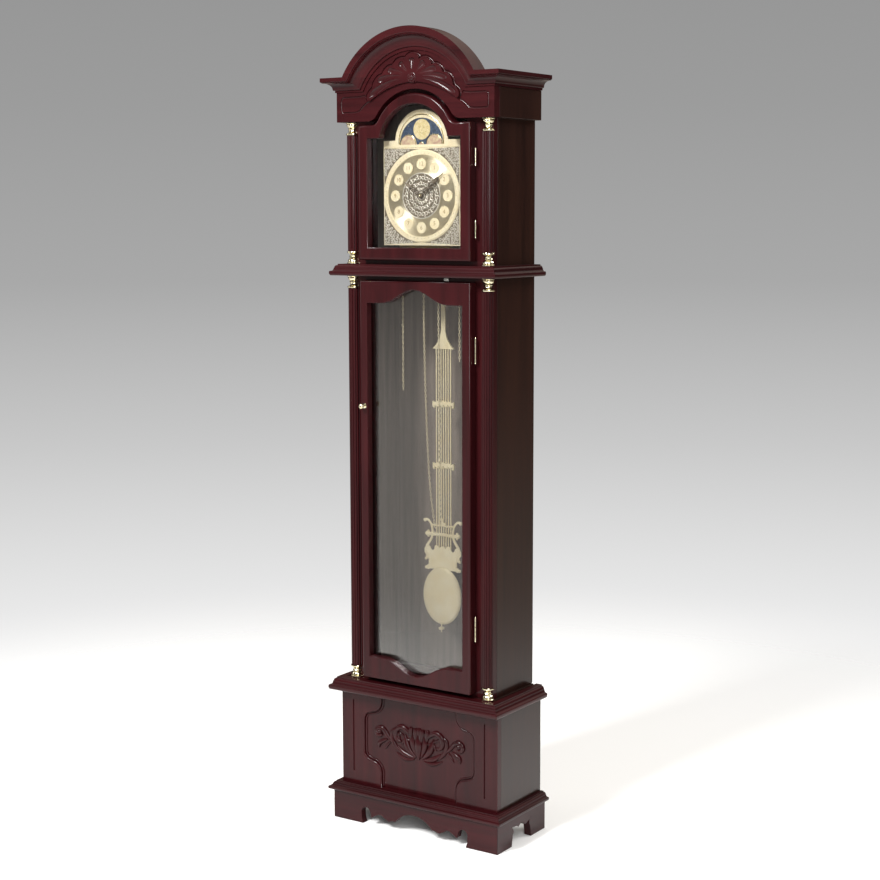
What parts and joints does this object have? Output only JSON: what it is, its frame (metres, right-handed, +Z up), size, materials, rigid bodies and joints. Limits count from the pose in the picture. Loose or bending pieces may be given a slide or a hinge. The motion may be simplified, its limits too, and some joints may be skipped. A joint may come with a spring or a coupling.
{
  "type": "grandfather clock",
  "caption": "Tall longcase clock with an arched hood, fluted half-columns, glazed doors over a moon dial and a lyre pendulum, hanging chains and a carved base on bracket feet.",
  "frame": {"origin": "on the floor under the middle of the clock's overall box", "axes": "+Z up, -Y towards the front with the dial, +X to the right seen from the front"},
  "size_m": [0.48, 0.224, 1.83],
  "materials": {
    "front_mahogany": "dark red mahogany under a polished lacquer",
    "side_mahogany": "dark mahogany veneer under a polished lacquer",
    "inner_board": "stained board, matt",
    "pane": "clear flat glass",
    "polished_brass": "polished and lacquered brass",
    "pendulum_brass": "polished pale brass",
    "movement_brass": "brushed brass",
    "chain_brass": "bright brass wire",
    "dial_brass": "gilt dial with silvered rings, spun and satin",
    "silvered": "silvered and pierced sheet",
    "moon_enamel": "painted night sky, satin",
    "steel": "nickel-plated steel"
  },
  "bodies": {
    "case": {"apron_front": "front_mahogany", "base_front_frame": "front_mahogany", "base_front_panel": "front_mahogany", "lotus_carving": "front_mahogany", "plinth_moulding": "front_mahogany", "base_moulding": "front_mahogany", "waist_moulding": "front_mahogany", "trunk_face_frame": "front_mahogany", "hood_face_frame": "front_mahogany", "frieze_board": "front_mahogany", "cornice_left": "front_mahogany", "cornice_right": "front_mahogany", "arch_moulding": "front_mahogany", "trunk_column_left": "front_mahogany", "trunk_column_right": "front_mahogany", "hood_column_left": "front_mahogany", "hood_column_right": "front_mahogany", "side_panel_left": "side_mahogany", "side_panel_right": "side_mahogany", "base_side_left": "side_mahogany", "base_side_right": "side_mahogany", "apron_left": "side_mahogany", "apron_right": "side_mahogany", "frieze_side_left": "side_mahogany", "frieze_side_right": "side_mahogany", "top_board": "side_mahogany", "trunk_floor": "side_mahogany", "back_panel": "inner_board", "seat_board": "inner_board", "trunk_capital_bottom_left": "polished_brass", "trunk_capital_bottom_right": "polished_brass", "trunk_capital_top_left": "polished_brass", "trunk_capital_top_right": "polished_brass", "hood_capital_bottom_left": "polished_brass", "hood_capital_bottom_right": "polished_brass", "hood_capital_top_left": "polished_brass", "hood_capital_top_right": "polished_brass", "hood_door_hinge_top": "polished_brass", "hood_door_hinge_bottom": "polished_brass", "trunk_door_hinge_top": "polished_brass", "trunk_door_hinge_bottom": "polished_brass", "door_catch": "steel", "dial_plate": "dial_brass", "movement_frame": "movement_brass", "chain_left": "chain_brass", "chain_right": "chain_brass"},
    "hood_door": {"hood_door_frame": "front_mahogany", "hood_door_glass": "pane"},
    "trunk_door": {"trunk_door_frame": "front_mahogany", "trunk_door_glass": "pane", "trunk_door_knob": "polished_brass"},
    "pendulum": {"pendulum_rod": "pendulum_brass", "pendulum_lyre": "pendulum_brass", "pendulum_bob": "pendulum_brass"},
    "rating_nut": {"rating_nut": "pendulum_brass"},
    "minute_hand": {"minute_hand": "silvered"},
    "hour_hand": {"hour_hand": "silvered"},
    "moon_disc": {"moon_disc": "moon_enamel"},
    "chain_sprocket_left": {"chain_sprocket_left": "movement_brass"},
    "chain_sprocket_right": {"chain_sprocket_right": "movement_brass"}
  },
  "joints": [
    {"name": "hood_door_hinge", "type": "hinge", "parent": "case", "child": "hood_door", "pos_m": [0.1524, -0.073, 1.47], "axis": [0, 0, 1], "range_deg": [0, 110]},
    {"name": "trunk_door_hinge", "type": "hinge", "parent": "case", "child": "trunk_door", "pos_m": [0.1524, -0.073, 0.815], "axis": [0, 0, 1], "range_deg": [0, 110]},
    {"name": "pendulum_swing", "type": "hinge", "parent": "case", "child": "pendulum", "pos_m": [0, 0.033, 1.452], "axis": [0, 1, 0], "range_deg": [-4, 4]},
    {"name": "rating_nut_turn", "type": "hinge", "parent": "pendulum", "child": "rating_nut", "pos_m": [0, 0.0224, 0.465], "axis": [0, 0, 1], "continuous": true},
    {"name": "minute_hand_turn", "type": "hinge", "parent": "case", "child": "minute_hand", "pos_m": [0, -0.054, 1.4645], "axis": [0, 1, 0], "continuous": true},
    {"name": "hour_hand_turn", "type": "hinge", "parent": "case", "child": "hour_hand", "pos_m": [0, -0.054, 1.4645], "axis": [0, 1, 0], "continuous": true},
    {"name": "moon_disc_turn", "type": "hinge", "parent": "case", "child": "moon_disc", "pos_m": [0, -0.048, 1.5775], "axis": [0, 1, 0], "continuous": true},
    {"name": "right_sprocket_turn", "type": "hinge", "parent": "case", "child": "chain_sprocket_right", "pos_m": [0.0485, -0.018, 1.4], "axis": [0, 1, 0], "continuous": true},
    {"name": "left_sprocket_turn", "type": "hinge", "parent": "case", "child": "chain_sprocket_left", "pos_m": [-0.0485, -0.018, 1.4], "axis": [0, 1, 0], "continuous": true}
  ],
  "couplings": [
    {"joint": "hour_hand_turn", "follows": "minute_hand_turn", "ratio": 0.083333},
    {"joint": "moon_disc_turn", "follows": "minute_hand_turn", "ratio": 0.00070547},
    {"joint": "right_sprocket_turn", "follows": "minute_hand_turn", "ratio": 0.034965}
  ]
}
